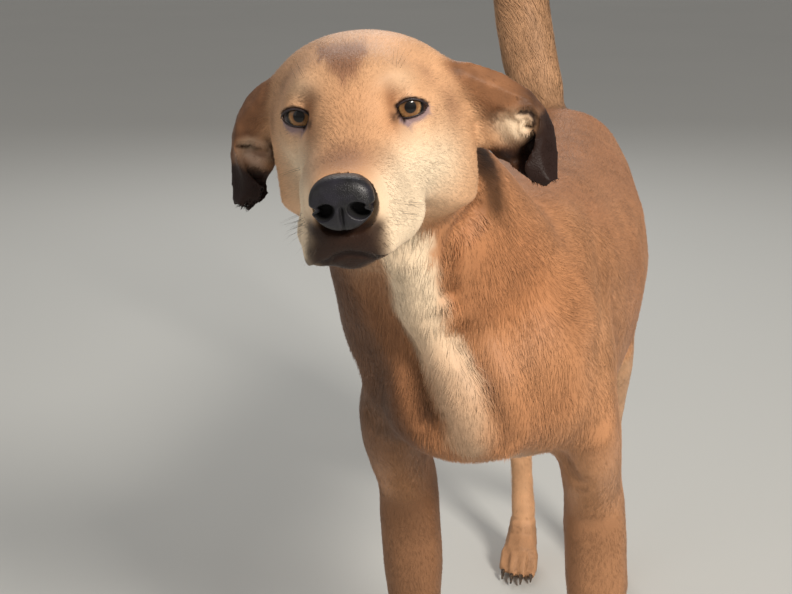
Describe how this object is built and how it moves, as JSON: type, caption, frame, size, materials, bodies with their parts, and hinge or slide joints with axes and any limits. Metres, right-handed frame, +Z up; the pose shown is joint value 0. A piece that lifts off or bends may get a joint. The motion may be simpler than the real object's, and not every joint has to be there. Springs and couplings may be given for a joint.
{
  "type": "dog",
  "caption": "Life-size still model of a standing short-coated tan hound cross with folded ears, its head turned to its right and its tail raised.",
  "frame": {"origin": "middle of the foot of the bounding box, on the ground between the paws", "axes": "+Z up; the dog faces -Y and its left side is towards +X"},
  "size_m": [0.2748, 0.8714, 0.8693],
  "materials": {
    "coat_red": "short flat red-brown fur, duller on the back, cream on throat and chest",
    "coat_tan": "short flat tan fur",
    "coat_face": "very short golden tan fur, cream on the muzzle",
    "coat_dark": "short velvety dark brown fur",
    "nose_leather": "black pebbled nose leather, moist",
    "eye": "amber brown iris under a wet clear cornea",
    "claw": "dark horn, paler towards the tip"
  },
  "bodies": {
    "root": {"belly": "coat_red", "chest": "coat_red", "ear_left": "coat_dark", "ear_right": "coat_dark", "eye_left": "eye", "eye_right": "eye", "forearm_left": "coat_tan", "forearm_right": "coat_tan", "front_claw_left_1": "claw", "front_claw_left_2": "claw", "front_claw_left_3": "claw", "front_claw_left_4": "claw", "front_claw_left_5": "claw", "front_claw_right_1": "claw", "front_claw_right_2": "claw", "front_claw_right_3": "claw", "front_claw_right_4": "claw", "front_claw_right_5": "claw", "front_pastern_left": "coat_tan", "front_pastern_right": "coat_tan", "front_paw_left": "coat_tan", "front_paw_right": "coat_tan", "head": "coat_face", "hind_claw_left_1": "claw", "hind_claw_left_2": "claw", "hind_claw_left_3": "claw", "hind_claw_left_4": "claw", "hind_claw_right_1": "claw", "hind_claw_right_2": "claw", "hind_claw_right_3": "claw", "hind_claw_right_4": "claw", "hind_paw_left": "coat_tan", "hind_paw_right": "coat_tan", "hock_left": "coat_tan", "hock_right": "coat_tan", "lower_jaw": "coat_face", "lower_leg_left": "coat_tan", "lower_leg_right": "coat_tan", "neck": "coat_red", "nose": "nose_leather", "rump": "coat_red", "shoulder_left": "coat_red", "shoulder_right": "coat_red", "tail_middle": "coat_tan", "tail_root": "coat_tan", "tail_tip": "coat_tan", "thigh_left": "coat_red", "thigh_right": "coat_red", "upper_arm_left": "coat_red", "upper_arm_right": "coat_red"}
  },
  "joints": []
}
